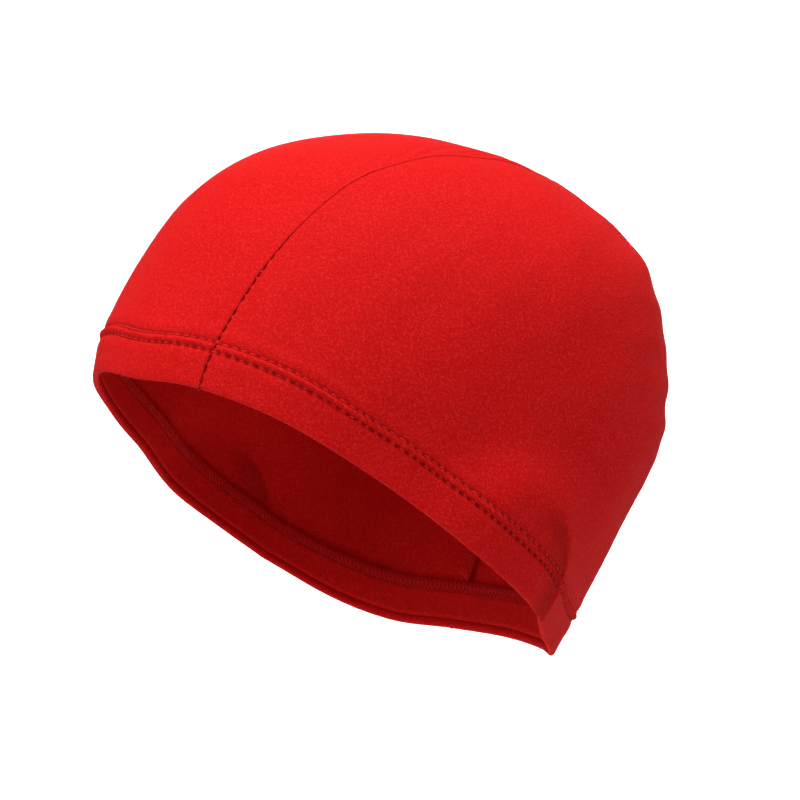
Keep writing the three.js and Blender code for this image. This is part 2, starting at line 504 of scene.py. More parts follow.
@dataclass
class Hem:
    """The turned-up edge: its fold, its two rows of coverstitch and the run round the head."""

    crown: Crown
    height: float = 18.0
    raw_edge: float = 14.9
    thickness: float = 2.2
    rows: Pair = (11.7, 14.4)
    pitch: float = 3.2
    stub: float = 2.6
    uneven: Waves = ((0.08, 0.23, 0.0), (0.06, 0.61, 1.0))
    # Rises, with the number of the grid's rows that lead down to them.
    outer_rows: tuple[tuple[float, int], ...] = ((15.7, 6), (10.3, 20))
    plain_rows: int = 9
    fold_rows: int = 10
    inner_rows: tuple[float, int, int] = (9.8, 6, 13)

    def __post_init__(self) -> None:
        """Measures the run round the head, between the rows."""
        self._angles = np.linspace(-180, 540, 2881)
        middle = sum(self.rows) / 2
        points = self.crown.cloth_at(self.crown.risen(self._angles, middle))
        run = run_along(points)
        self._run = run - np.interp(0.0, self._angles, run)
        self.whole = float(np.interp(360.0, self._angles, self._run))
        self.stitches = round(self.whole / self.pitch)
        self.pitch = self.whole / self.stitches

    def run(self, angle: Rows) -> Rows:
        """The distance round the head at an angle."""
        return np.interp(angle, self._angles, self._run)

    def angle(self, run: Rows) -> Rows:
        """The angle at a distance round the head."""
        return np.interp(run, self._run, self._angles)

    def beat(self, run: Rows) -> Rows:
        """Stitches from the brow at a run, a little uneven: whole where the needle goes in."""
        folded = np.minimum(run, self.whole - run)
        return folded / self.pitch + wavering(folded, self.uneven)

    def outer_path(self) -> tuple[Rows, Rows]:
        """Rises and insets of the cloth from above the rows, round the fold and inside it.

        Returns:
            Rises and insets in millimetres, in the order of the rows.
        """
        radius = self.thickness / 2
        parts, top = [], self.height
        for foot, count in (*self.outer_rows, (radius, self.plain_rows)):
            parts.append(np.linspace(top, foot, count)[:-1])
            top = foot
        outside = np.concatenate(parts)
        turn = np.linspace(0, np.pi, self.fold_rows)
        rises = np.concatenate([outside, radius - radius * np.sin(turn), [self.stub]])
        insets = np.concatenate([0 * outside, radius - radius * np.cos(turn), [self.thickness]])
        return rises, insets

    def inner_path(self) -> tuple[Rows, Rows]:
        """Rises and insets of the turned-up ply, from the fold to its raw edge.

        Returns:
            Rises and insets in millimetres, in the order of the rows.
        """
        middle, below, above = self.inner_rows
        rises = np.concatenate([
            np.linspace(self.stub, middle, below)[:-1],
            np.linspace(middle, self.raw_edge, above),
        ])
        return rises, np.full_like(rises, self.thickness)


@dataclass
class Relief:
    """The low forms that thread, stretch and the head press into the cloth."""

    crown: Crown
    seam: Seam
    hem: Hem
    # The two rows of stitching, the lower one first.
    row_depth: Pair = (0.95, 0.7)
    row_width: Pair = (0.6, 0.5)
    row_pitting: Pair = (0.6, 0.4)
    # Shade painted in each row, and the width that it spreads over.
    row_painted_shade: Pair = (0.9, 0.5)
    row_painted_shade_width: Pair = (0.5, 0.45)
    # The size and sharpness of the pits where the needle goes in, and how they vary.
    pit_form: Pair = (0.62, 0.9)
    pit_change: Three = (0.85, 0.15, 0.9)
    # The share of the lower row's painted shade that lies between the pits.
    between_pits: float = 0.25
    # The cloth that puffs up between the rows and, by height, middle and width, beside them.
    puff: float = 0.45
    puff_width: float = 1.0
    twist: float = 0.42
    twist_reach: float = 3.0
    shoulder_above: Three = (0.25, 2.4, 1.6)
    shoulder_below: Three = (0.3, -2.6, 2.2)
    # The seam, and its gaps where it is open: pairs are closed and open, or a start and a width.
    furrow: float = 0.8
    furrow_width: Pair = (0.2, 0.34)
    # The width over which shade is painted beside the seam.
    seam_painted_shade_width: float = 0.32
    furrow_closed: float = 0.06
    gap_form: Pair = (0.6, 1.5)
    seam_step: float = 0.1
    step_width: float = 2.5
    seam_pitch: float = 3.4
    seam_uneven: Waves = ((0.16, 0.31, 0.5), (0.1, 0.77, 0.0))
    open_run: Pair = (44.0, 20.0)
    # The sink in front of the ear's rim, and the shade painted into it.
    fold_depth: float = 0.7
    fold_shade: float = 0.48
    # Where ripples and creases start, over what width, where they end, and over what width.
    ripples: float = 0.26
    ripple_angles: Four = (112.0, 22.0, 158.0, 18.0)
    ripple_depths: Four = (22.0, 18.0, 92.0, 26.0)
    ripple_lengths: Pair = (12.5, 18.1)
    ripple_second: float = 0.8
    ripple_wander: Three = (5.0, 0.09, 0.05)
    crease: float = 0.2
    crease_runs: Four = (88.0, 26.0, 168.0, 30.0)
    crease_reach: Four = (0.0, 2.0, 5.0, 11.0)
    crease_slant: float = 2.6
    crease_lengths: Pair = (13.0, 7.7)
    crease_second: float = 0.45
    # The height, turns along x, y and z, and start of each soft wave.
    waves: tuple[tuple[float, float, float, float, float], ...] = (
        (0.16, 0.05, 0.17, 0.03, 0.4),
        (0.12, 0.11, -0.09, 0.16, 1.9),
        (0.10, -0.07, 0.21, -0.12, 3.1),
        (0.08, 0.19, 0.13, -0.21, 4.6),
    )

    def seam_open(self, run: Rows) -> Rows:
        """1 where the stretch over the brow or nape opens the seam, 0 where it lies closed."""
        nearest = np.minimum(run, self.seam.run[-1] - run)
        return 1 - rising(nearest, *self.open_run)

    def seam_beat(self, run: Rows) -> Rows:
        """Stitches along the seam at a run, a little uneven: whole in the middle of each gap."""
        return run / self.seam_pitch + wavering(run, self.seam_uneven)

    def sway(self, point: Rows) -> Rows:
        """Soft waves of stretched cloth, 20 to 45 mm long.

        Args:
            point: Points of the plain cloth, in millimetres.

        Returns:
            Lifts in millimetres.
        """
        total = np.zeros(point.shape[:-1])
        for height, x, y, z, start in self.waves:
            phase = point[..., 0] * x + point[..., 1] * y + point[..., 2] * z + start
            total = total + height * np.sin(phase)
        return total

    def back_ripples(self, point: Rows, angle: Rows) -> Rows:
        """Small level wrinkles behind the ear, down the back of the head.

        Args:
            point: Points of the plain cloth, in millimetres.
            angle: Their angles from the brow.

        Returns:
            Lifts in millimetres.
        """
        depth = -point[..., 2]
        where = window(np.abs(angle), *self.ripple_angles) * window(depth, *self.ripple_depths)
        size, along, across = self.ripple_wander
        wander = size * np.sin(point[..., 1] * along + point[..., 0] * across)
        short, long = self.ripple_lengths
        wave = np.sin((depth + wander) * 2 * np.pi / short)
        wave = wave + self.ripple_second * np.sin(depth * 2 * np.pi / long)
        return self.ripples * where * wave

    def seam_creases(self, distance: Rows, run: Rows) -> Rows:
        """Short slanting creases that run into the seam from the centre over the crown.

        Args:
            distance: Distances from the seam.
            run: Runs along it.

        Returns:
            Lifts in millimetres.
        """
        where = window(run, *self.crease_runs) * window(distance, *self.crease_reach)
        slant = run - self.crease_slant * distance
        long, short = self.crease_lengths
        wave = np.sin(slant * 2 * np.pi / long)
        wave = wave + self.crease_second * np.sin(slant * 2 * np.pi / short + 1.0)
        return self.crease * where * wave

    def press_rows(self, lift: Rows, plan: Rows) -> tuple[Rows, Rows]:
        """Draws the two rows of stitching into the cloth, which puffs up beside them.

        Args:
            lift: How far the cloth stood off the crown before.
            plan: Places of the cloth.

        Returns:
            The new lifts, and the shade painted in the rows' pits.
        """
        low, high = (self.crown.rise(plan) - row for row in self.hem.rows)
        along = self.hem.run(np.abs(self.crown.angle(plan)))
        beat = self.hem.beat(along)
        size, sharpness = self.pit_form
        mean, change, turn = self.pit_change
        pit = smooth(size + sharpness * np.cos(2 * np.pi * beat))
        pit = pit * (mean + change * np.sin(along * turn))
        for gap, depth, width, share in zip((low, high), self.row_depth, self.row_width,
                                            self.row_pitting):
            lift = lift - depth * ((1 - share + share * pit) * hill(gap, width))
        twisted = self.puff + self.twist * np.sin(2 * np.pi * (beat + low / self.twist_reach))
        lift = lift + hill((low + high) / 2, self.puff_width) * twisted
        for gap, (height, middle, width) in ((high, self.shoulder_above),
                                             (low, self.shoulder_below)):
            lift = lift + height * hill(gap - middle, width)
        # Shade painted into the pits of both rows.
        plain = self.between_pits
        lower = self.row_painted_shade[0] * (plain + (1 - plain) * pit) * hill(low, self.row_painted_shade_width[0])
        upper = self.row_painted_shade[1] * pit * hill(high, self.row_painted_shade_width[1])
        return lift, np.maximum(lower, upper)

    def press_seam(self, lift: Rows, base: Rows, centre: bool) -> tuple[Rows, Rows]:
        """Draws the seam into the cloth, deeper in its gaps near the edge.

        Args:
            lift: How far the cloth stood off the crown before.
            base: Points of the plain cloth.
            centre: Whether they belong to the centre panel.

        Returns:
            The new lifts, and the shade painted in the furrow.
        """
        folded = np.concatenate([np.abs(base[..., :1]), base[..., 1:]], axis=-1)
        distance, run = self.seam.near(folded)
        opened = self.seam_open(run)
        narrow, wide = self.furrow_width
        width = narrow + (wide - narrow) * opened
        size, sharpness = self.gap_form
        gap = smooth(size + sharpness * np.cos(2 * np.pi * self.seam_beat(run)))
        deep = self.furrow_closed + (1 - self.furrow_closed) * opened * gap
        lift = lift - self.furrow * deep * np.exp(-distance / width)
        step = self.seam_step if centre else -self.seam_step
        lift = lift + step * np.exp(-distance / self.step_width)
        if centre:
            lift = lift + self.seam_creases(distance, run)
        # Shade painted in the seam's furrow, deepest in its open gaps.
        return lift, deep * np.exp(-distance / self.seam_painted_shade_width)

    def height(self, plan: Rows, side: Side, centre: bool = False) -> tuple[Rows, Rows]:
        """How far the cloth stands off the plain crown, and how much shade is painted on it.

        Args:
            plan: Places on the left half of the plan, or on both halves for the centre.
            side: The side that the piece is on, which shifts the soft waves.
            centre: Whether the places belong to the centre panel.

        Returns:
            Lifts in millimetres, and painted shade from 0 to 1.
        """
        base = self.crown.cloth_at(plan)
        lift = self.sway(base * (side.value, 1, 1))
        lift = lift + self.back_ripples(base, self.crown.angle(plan))
        lift, in_rows = self.press_rows(lift, plan)
        lift, in_seam = self.press_seam(lift, base, centre)
        fold = self.crown.ear_fold(base)
        # Painted shade: in the rows' pits, the seam's furrow and the fold by the ear.
        shade = np.maximum(np.maximum(in_rows, in_seam), self.fold_shade * fold)
        return lift - self.fold_depth * fold, np.clip(shade, 0, 1)


@dataclass
class Block:
    """One grid of a sheet: where its corners lie in millimetres, and how much shade is painted at
    each.
    """

    points: Rows
    shade: Rows


def knit_map(points: Rows, lean: float) -> Rows:
    """Lays the knit over the crown, with its wales running front to back.

    Args:
        points: Positions in metres.
        lean: The direction that the middle of the panel faces, in degrees from straight up.

    Returns:
        Two distances for each point, in metres.
    """
    turn = np.arctan2(points[:, 0], points[:, 2] - KNIT_MIDDLE) - np.radians(lean)
    turn = (turn + np.pi) % (2 * np.pi) - np.pi
    pitch = np.arctan2(points[:, 1], np.hypot(points[:, 0], points[:, 2] - KNIT_MIDDLE))
    return np.stack([KNIT_RADIUS * pitch, KNIT_RADIUS * turn * np.cos(pitch)], -1)


class Workroom:
    """Makes meshes from grids and threads."""

    @staticmethod
    def _place_grid(bm: bmesh.types.BMesh, block: Block, layer: bmesh.types.BMLayerItem) -> None:
        """Adds one grid and moves its corners to the block's points, facing outwards.

        Args:
            bm: The mesh that is being made.
            block: The grid.
            layer: The layer that holds the painted shade.
        """
        rows, columns = block.points.shape[:2]
        made = bmesh.ops.create_grid(bm, x_segments=rows - 1, y_segments=columns - 1, size=1)
        verts = made["verts"]
        for vert in verts:
            i = round((vert.co.x + 1) / 2 * (rows - 1))
            j = round((vert.co.y + 1) / 2 * (columns - 1))
            vert.co = block.points[i, j] * METRES
            vert[layer] = block.shade[i, j]
        faces = list({face for vert in verts for face in vert.link_faces})
        outwards = 0.0
        for face in faces:
            face.normal_update()
            away = face.calc_center_median() - CAP_MIDDLE
            outwards += face.normal.dot(away) * face.calc_area()
        if outwards < 0:
            bmesh.ops.reverse_faces(bm, faces=faces)

    @classmethod
    def sheet(cls, name: str, blocks: list[Block], lean: float, thickness: float) -> Piece:
        """One sheet of cloth, welded from its grids.

        Args:
            name: The piece's name.
            blocks: Grids whose edges meet.
            lean: The direction that the panel faces, for the run of its knit.
            thickness: The cloth's thickness in millimetres.

        Returns:
            The piece, linked to the scene.
        """
        bm = bmesh.new()
        # The furrow layer carries painted shade, which darkens the knit's colour.
        layer = bm.verts.layers.float.new("furrow")
        for block in blocks:
            cls._place_grid(bm, block, layer)
        bmesh.ops.remove_doubles(bm, verts=bm.verts, dist=2e-6)
        for face in bm.faces:
            face.smooth = True
        mesh = bpy.data.meshes.new(name)
        bm.to_mesh(mesh)
        bm.free()
        spots = np.empty(len(mesh.vertices) * 3)
        mesh.vertices.foreach_get("co", spots)
        corners = np.empty(len(mesh.loops), dtype=np.int32)
        mesh.loops.foreach_get("vertex_index", corners)
        laid = knit_map(spots.reshape(-1, 3), lean)[corners]
        mesh.uv_layers.new(name="knit").uv.foreach_set("vector", laid.astype(np.float32).ravel())
        piece = linked(name, mesh)
        shell = piece.modifiers.new("thickness", "SOLIDIFY")
        shell.thickness = thickness * METRES
        shell.offset = -1.0
        return piece

    @staticmethod
    def threads(name: str, lines: list[Rows], radius: float, closed: bool = False,
                sides: int = 1) -> Piece:
        """Thread along lines of points, made a mesh.

        Args:
            name: The piece's name.
            lines: Lines of points in millimetres.
            radius: The thread's radius in millimetres.
            closed: Whether each line ends where it starts.
            sides: The curve's bevel resolution.

        Returns:
            The piece, linked to the scene.
        """
        curve = bpy.data.curves.new(name, "CURVE")
        curve.dimensions = "3D"
        curve.bevel_depth = radius * METRES
        curve.bevel_resolution = sides
        curve.use_fill_caps = not closed
        for line in lines:
            spline = curve.splines.new("POLY")
            spline.points.add(len(line) - 1)
            packed = np.concatenate([line * METRES, np.ones((len(line), 1))], axis=1)
            spline.points.foreach_set("co", packed.ravel())
            spline.use_cyclic_u = closed
        drawn = linked(name + "_line", curve)
        seen = drawn.evaluated_get(bpy.context.evaluated_depsgraph_get())
        mesh = bpy.data.meshes.new_from_object(seen)
        mesh.name = name
        bpy.data.objects.remove(drawn)
        bpy.data.curves.remove(curve)
        for polygon in mesh.polygons:
            polygon.use_smooth = True
        return linked(name, mesh)


class Shade:
    """A shader socket that does maths as plain Python."""

    def __init__(self, recipe: "Recipe", socket: bpy.types.NodeSocket) -> None:
        """Wraps a socket of a recipe."""
        self.recipe = recipe
        self.socket = socket

    def _math(self, operation: str, *values: "Shade | float") -> "Shade":
        """The result of a Math node."""
        inputs = dict(enumerate(values))
        return self.recipe.node("ShaderNodeMath", {"operation": operation}, inputs)

    def __add__(self, other: "Shade | float") -> "Shade":
        """Sum."""
        return self._math("ADD", self, other)

    def __sub__(self, other: "Shade | float") -> "Shade":
        """Difference."""
        return self._math("SUBTRACT", self, other)

    def __rsub__(self, other: float) -> "Shade":
        """Difference from a number."""
        return self._math("SUBTRACT", other, self)

    def __mul__(self, other: "Shade | float") -> "Shade":
        """Product."""
        return self._math("MULTIPLY", self, other)

    __radd__ = __add__
    __rmul__ = __mul__

    def __abs__(self) -> "Shade":
        """Size without sign."""
        return self._math("ABSOLUTE", self)

    def sine(self) -> "Shade":
        """Sine of an angle in radians."""
        return self._math("SINE", self)

    def at_least(self, floor: float) -> "Shade":
        """The larger of this and a number."""
        return self._math("MAXIMUM", self, floor)

    def triangle(self, period: float) -> "Shade":
        """A zigzag from 0 to half the period and back."""
        return self._math("PINGPONG", self, period / 2)


class Recipe:
    """The nodes of one material."""

    def __init__(self, name: str) -> None:
        """Starts an empty material of this name.

        Args:
            name: The material's name.
        """
        self.material = bpy.data.materials.new(name)
        self.material.use_nodes = True
        self.tree = self.material.node_tree
        self.tree.nodes.clear()

    def add(self, kind: str, settings: dict[str, object],
            inputs: dict[str | int, object]) -> bpy.types.Node:
        """Adds a node.

        Args:
            kind: The node's type.
            settings: Its settings, set before its sockets.
            inputs: Values or links of its sockets.

        Returns:
            The node.
        """
        node = self.tree.nodes.new(kind)
        for key, value in settings.items():
            setattr(node, key, value)
        for key, value in inputs.items():
            if isinstance(value, Shade):
                self.tree.links.new(value.socket, node.inputs[key])
            else:
                node.inputs[key].default_value = value
        return node

    def node(self, kind: str, settings: dict[str, object], inputs: dict[str | int, object],
             output: str | int = 0) -> Shade:
        """Adds a node, and gives one of its outputs."""
        return Shade(self, self.add(kind, settings, inputs).outputs[output])

    def place(self) -> Shade:
        """The place on a piece, in metres."""
        return self.node("ShaderNodeTexCoord", {}, {}, "Object")

    def split(self, vector: Shade) -> tuple[Shade, Shade]:
        """The first two parts of a vector."""
        parts = self.add("ShaderNodeSeparateXYZ", {}, {"Vector": vector})
        return Shade(self, parts.outputs["X"]), Shade(self, parts.outputs["Y"])

    def noise(self, where: Shade, scale: float, detail: float = 2.0) -> Shade:
        """Noise from 0 to 1."""
        inputs = {"Vector": where, "Scale": scale, "Detail": detail, "Roughness": 0.6}
        return self.node("ShaderNodeTexNoise", {}, inputs, "Fac")

    def bump(self, height: Shade, distance: float, strength: float) -> Shade:
        """The normal of a surface with this height, over a distance in metres."""
        inputs = {"Height": height, "Distance": distance, "Strength": strength}
        return self.node("ShaderNodeBump", {}, inputs, "Normal")

    def tinted(self, colour: Three, strength: Shade,
               pale: Shade | float = 0.0) -> Shade:
        """A colour times a strength, with a little white added.

        Args:
            colour: The colour at strength 1.
            strength: What it is multiplied by.
            pale: The white, which on the knit is painted glints of its fibres.

        Returns:
            The colour.
        """
        added = pale if isinstance(pale, Shade) else (pale, pale, pale)
        return self.node("ShaderNodeVectorMath", {"operation": "MULTIPLY_ADD"},
                         {0: colour, 1: strength, 2: added}, "Vector")

    def finish(self, shader: dict[str, object]) -> bpy.types.Material:
        """Closes the recipe with a shader of these sockets, and gives its material.

        Args:
            shader: The sockets' values and links.

        Returns:
            The material.
        """
        surface = self.node("ShaderNodeBsdfPrincipled", {}, shader, "BSDF")
        self.add("ShaderNodeOutputMaterial", {}, {"Surface": surface})
        return self.material


@dataclass(frozen=True)
class KnitFinish:
    """Matte stretch knit: wales, courses, the grain of its yarn, and painted shade and glints."""

    name: str = "red_knit"
    colour: Three = (0.56, 0.0044, 0.0042)
    roughness: float = 0.78
    roughness_change: float = 0.12
    specular: float = 0.06
    wale: float = 0.62
    course: float = 0.5
    course_slant: float = 0.8
    heights: Three = (0.6, 0.25, 0.3)
    grain: float = 1300.0
    patch: float = 34.0
    streak: Three = (90.0, 900.0, 1.0)
    plain: float = 0.90
    grain_share: float = 0.75
    knit_share: float = 0.08
    streak_share: float = 0.06
    patch_share: float = 0.05
    # How much the painted shade darkens the colour.
    painted_shade_share: float = 0.62
    # How much white the painted glints of the fibres add.
    painted_glint_share: float = 0.055
    bump: float = 0.00009
    bump_strength: float = 0.8

    def knit(self, recipe: Recipe, laid: Shade) -> Shade:
        """The height of the loops: wales, slanted courses and their zigzag.

        Args:
            recipe: The material's nodes.
            laid: Distances along the cloth, in metres.

        Returns:
            Heights from 0 to about 1.
        """
        along, across = recipe.split(laid)
        zigzag = (along * MILLIMETRES).triangle(self.course * 2)
        wale = abs((across * (MILLIMETRES * np.pi / self.wale)).sine())
        slanted = across * self.course_slant + along
        loop = abs((slanted * (MILLIMETRES * np.pi / self.course)).sine())
        for_wale, for_loop, for_zigzag = self.heights
        return wale * for_wale + loop * for_loop + zigzag * for_zigzag

    def build(self) -> bpy.types.Material:
        """Makes the material.

        Returns:
            The material.
        """
        recipe = Recipe(self.name)
        laid = recipe.node("ShaderNodeUVMap", {"uv_map": "knit"}, {})
        place = recipe.place()
        grain = recipe.noise(place, self.grain, 3.0)
        patches = recipe.noise(place, self.patch)
        drawn = recipe.node("ShaderNodeVectorMath", {"operation": "MULTIPLY"},
                            {0: laid, 1: self.streak}, "Vector")
        streaks = recipe.noise(drawn, 1.0)
        knit = self.knit(recipe, laid)
        furrow = recipe.node("ShaderNodeAttribute", {"attribute_name": "furrow"}, {}, "Fac")
        fleck = grain - 0.5
        strength = self.plain + fleck * self.grain_share + knit * self.knit_share
        strength = strength + streaks * self.streak_share + patches * self.patch_share
        # Painted shade: darker where the furrow attribute is high, from the seam, the stitch rows,
        # the fold by the ear and the allowance.
        strength = strength * (1 - furrow * self.painted_shade_share)
        # White flecks where the grain is high: painted glints of the fibres.
        pale = (fleck * self.painted_glint_share).at_least(0.0)
        return recipe.finish({
            "Base Color": recipe.tinted(self.colour, strength, pale),
            "Roughness": self.roughness + fleck * self.roughness_change,
            "Specular IOR Level": self.specular,
            "Normal": recipe.bump(knit * 0.8 + grain * 1.2, self.bump, self.bump_strength),
        })


@dataclass(frozen=True)
class ThreadFinish:
    """Spun polyester sewing thread, a little glossier than the cloth."""

    name: str
    colour: Three
    roughness: float = 0.5
    specular: float = 0.18
    fibre: float = 4200.0
    slub: float = 420.0
    plain: float = 0.72
    fibre_share: float = 0.32
    slub_share: float = 0.24
    bump: float = 0.00004
    bump_strength: float = 0.7

    def build(self) -> bpy.types.Material:
        """Makes the material.

        Returns:
            The material.
        """
        recipe = Recipe(self.name)
        place = recipe.place()
        fibres = recipe.noise(place, self.fibre)
        slubs = recipe.noise(place, self.slub, 1.0)
        strength = self.plain + fibres * self.fibre_share + slubs * self.slub_share
        return recipe.finish({
            "Base Color": recipe.tinted(self.colour, strength),
            "Roughness": self.roughness + (slubs - 0.5) * 0.2,
            "Specular IOR Level": self.specular,
            "Normal": recipe.bump(fibres, self.bump, self.bump_strength),
        })


@dataclass
class Cap:
    """Everything that the pieces of the cap share."""

    crown: Crown
    seam: Seam
    hem: Hem
    relief: Relief
    knit: bpy.types.Material
    thread: bpy.types.Material
    # Thread painted nearly black, as shade, for the knots.
    painted_shade_thread: bpy.types.Material
    cloth: float = 0.9

    def dress(self, piece: Piece, material: bpy.types.Material, slot: str) -> None:
        """Gives a piece its material and its body.

        Args:
            piece: The piece.
            material: What it is made of.
            slot: Not used.
        """
        piece.data.materials.append(material)
        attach(piece, ROOT)
        LOG.info("%s: %d faces", piece.name, len(piece.data.polygons))

    def cover(self, solid: str, blocks: list[Block], lean: float, slot: str,
              inner: bool = False) -> Piece:
        """Makes a sheet of cloth in place of a solid.

        Args:
            solid: The solid that the sheet stands for.
            blocks: The sheet's grids.
            lean: The direction that the panel faces, in degrees from straight up.
            slot: The sheet's material slot.
            inner: Whether it faces the head, so that its thickness goes outwards.

        Returns:
            The sheet.
        """
        piece = Workroom.sheet(f"{solid}_cloth", blocks, lean, self.cloth)
        if inner:
            piece.data.flip_normals()
        self.dress(piece, self.knit, slot)
        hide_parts(solid)
        return piece

    def sew(self, name: str, lines: list[Rows], radius: float, slot: str, **form: object) -> Piece:
        """Sews the cap's own thread along lines of points.

        Args:
            name: The piece's name.
            lines: Lines of points in millimetres.
            radius: The thread's radius in millimetres.
            slot: Its material slot.
            form: What else Workroom.threads is told.

        Returns:
            The thread.
        """
        piece = Workroom.threads(name, lines, radius, **form)
        self.dress(piece, self.thread, slot)
        return piece

    def declare(self, piece: Piece, flat: Pair, area: float,
                with_pieces: list[Piece]) -> None:
        """Logs the area that a sheet worn stretched covers, beside the area that was cut for it.

        Args:
            piece: The sheet, before its thickness.
            flat: Not used.
            area: The cut piece's area in square metres.
            with_pieces: Not used.
        """
        worn = sum(polygon.area for polygon in piece.data.polygons)
        LOG.info("%s: %.4f m2 worn, %.4f m2 cut", piece.name, worn, area)


def patch(near: Rows, far: Rows, front: Rows, back: Rows, along: Rows, across: Rows) -> Rows:
    """A four-sided patch of the plan.

    Args:
        near: Places of one long side, from front to back.
        far: Places of the other long side.
        front: Places of the front side, from near to far.
        back: Places of the back side.
        along: Shares of the way at the long sides' places.
        across: Shares of the way at the short sides' places.

    Returns:
        Places in rows from near to far, one row for each share along.
    """
    a, b = along[:, None, None], across[None, :, None]
    sides = near[:, None] * (1 - b) + far[:, None] * b + front[None] * (1 - a) + back[None] * a
    corners = (1 - a) * ((1 - b) * near[0] + b * far[0]) + a * ((1 - b) * near[-1] + b * far[-1])
    return sides - corners


@dataclass
class HemBand:
    """A length of hem from one seam to the next."""

    cap: Cap
    ends: Callable[[Rows], tuple[Rows, Rows]]
    shares: Rows
    fit: Callable[[Rows], Rows]
    drawn: float = 0.28
    drawn_width: float = 0.7
    # Shade painted along the rows on the turned-up ply.
    drawn_shade: float = 0.4

    def places(self, rises: Rows) -> Rows:
        """Places in columns of these rises.

        Args:
            rises: The rows' heights above the lower edge.

        Returns:
            Places on the plan.
        """
        start, end = self.ends(rises)
        angle = start[None] + (end - start)[None] * self.shares[:, None]
        return self.cap.crown.risen(angle, np.broadcast_to(rises, angle.shape))

    def outer(self, side: Side, centre: bool = False) -> Block:
        """The cloth from above the rows of stitching round the fold, on a side's soft waves.

        Args:
            side: The side whose soft waves it has.
            centre: Whether it belongs to the centre panel.

        Returns:
            The grid.
        """
        rises, insets = self.cap.hem.outer_path()
        plan = self.places(rises)
        lift, shade = self.cap.relief.height(plan, side, centre)
        hold = np.clip(1 - insets / (self.cap.hem.thickness / 2), 0, 1)
        points = self.cap.crown.cloth_at(plan, lift * hold - insets)
        return Block(self.fit(points), shade * hold)

    def inner(self) -> Block:
        """The turned-up ply, with the rows of stitching drawn into it.

        Returns:
            The grid.
        """
        rises, insets = self.cap.hem.inner_path()
        plan = self.places(rises)
        rows = sum(hill(rises - row, self.drawn_width) for row in self.cap.hem.rows)
        drawn = self.drawn * rows * smooth((rises - self.cap.hem.stub) / 2)
        points = self.cap.crown.cloth_at(plan, drawn - insets)
        return Block(self.fit(points), np.broadcast_to(self.drawn_shade * rows, plan.shape[:-1]))


@dataclass
class SidePanel:
    """A side of the cap: one sheet from the seam down to the hem and round its fold."""

    cap: Cap
    side: Side
    corners: Pair = (55.0, 125.0)
    along: Grading = (300, 0.3, 0.3, 6, 6)
    across: Grading = (66, 0.86, 0.5, 12, 5)
    flat: Pair = (0.150, 0.195)
    cut_area: float = 0.0228

    def __post_init__(self) -> None:
        """Sets out the panel and its hem between the seam's ends."""
        cap, (front, back) = self.cap, self.corners
        along, across = graded(*self.along), graded(*self.across)
        rise = cap.hem.height
        first, last = cap.seam.ends(rise)
        self.lean = SIDE_LEAN * self.side.value
        self.plan = patch(
            near=cap.seam.between_hems(along, rise),
            far=cap.crown.risen(front + (back - front) * along, rise),
            front=cap.crown.risen(first + (front - first) * across, rise),
            back=cap.crown.risen(last + (back - last) * across, rise),
            along=along,
            across=across,
        )
        angles = np.concatenate([
            first + (front - first) * across[:-1],
            front + (back - front) * along[:-1],
            (last + (back - last) * across)[::-1],
        ])
        self.band = HemBand(cap, cap.seam.ends, (angles - first) / (last - first), self.fit)

    def fit(self, points: Rows) -> Rows:
        """Points of the left side, half the gap off the seam and on this panel's own side."""
        return (points + (self.cap.seam.gap / 2, 0, 0)) * (self.side.value, 1, 1)

    def build(self) -> Piece:
        """Makes the sheet, in place of the panel's solid.

        Returns:
            The sheet.
        """
        lift, shade = self.cap.relief.height(self.plan, self.side)
        upper = Block(self.fit(self.cap.crown.cloth_at(self.plan, lift)), shade)
        blocks = [upper, self.band.outer(self.side)]
        return self.cap.cover(f"{self.side.label}_panel", blocks, self.lean, "knit_panel")

    def build_hem(self) -> Piece:
        """Makes the ply that is turned up inside, in place of the hem's solid."""
        blocks = [self.band.inner()]
        return self.cap.cover(f"{self.side.label}_hem", blocks, self.lean, "knit_hem", inner=True)


@dataclass
class CentrePanel:
    """The strip over the crown: one sheet with a hem at the brow and one at the nape."""

    cap: Cap
    width: float = 60.0
    along: Grading = (300, 0.3, 0.3, 6, 6)
    across: Grading = (72, 0.8, 0.8, 9, 9)
    flat: Pair = (0.058, 0.341)
    cut_area: float = 0.0197

    def fit(self, points: Rows) -> Rows:
        """Points drawn in by half the gap on each side."""
        return points * (1 - self.cap.seam.gap / self.width, 1, 1)

    def ends(self, end: End, rises: Rows) -> tuple[Rows, Rows]:
        """Angles of the right and the left seam at each rise, at one end."""
        left = self.cap.seam.angle(end, rises)
        return (-left, left) if end is End.FRONT else (360 - left, left)

    def band(self, end: End) -> HemBand:
        """The hem at one end."""
        return HemBand(self.cap, partial(self.ends, end), graded(*self.across), self.fit)

    def build(self) -> Piece:
        """Makes the sheet, in place of the centre panel's solid.

        Returns:
            The sheet.
        """
        cap, rise = self.cap, self.cap.hem.height
        along, across = graded(*self.along), graded(*self.across)
        first, last = cap.seam.ends(rise)
        near = cap.seam.between_hems(along, rise)
        plan = patch(
            near=near * (-1, 1),
            far=near,
            front=cap.crown.risen(-first + 2 * first * across, rise),
            back=cap.crown.risen(360 - last - (360 - 2 * last) * across, rise),
            along=along,
            across=across,
        )
        lift, shade = cap.relief.height(plan, Side.LEFT, True)
        blocks = [Block(self.fit(cap.crown.cloth_at(plan, lift)), shade)]
        blocks += [self.band(end).outer(Side.LEFT, True) for end in End]
        return cap.cover("centre_panel", blocks, 0.0, "knit_panel")

    def build_hem(self, end: End) -> Piece:
        """Makes the turned-up ply at one end, in place of its solid."""
        blocks = [self.band(end).inner()]
        return self.cap.cover(f"{end.value}_hem", blocks, 0.0, "knit_hem", inner=True)


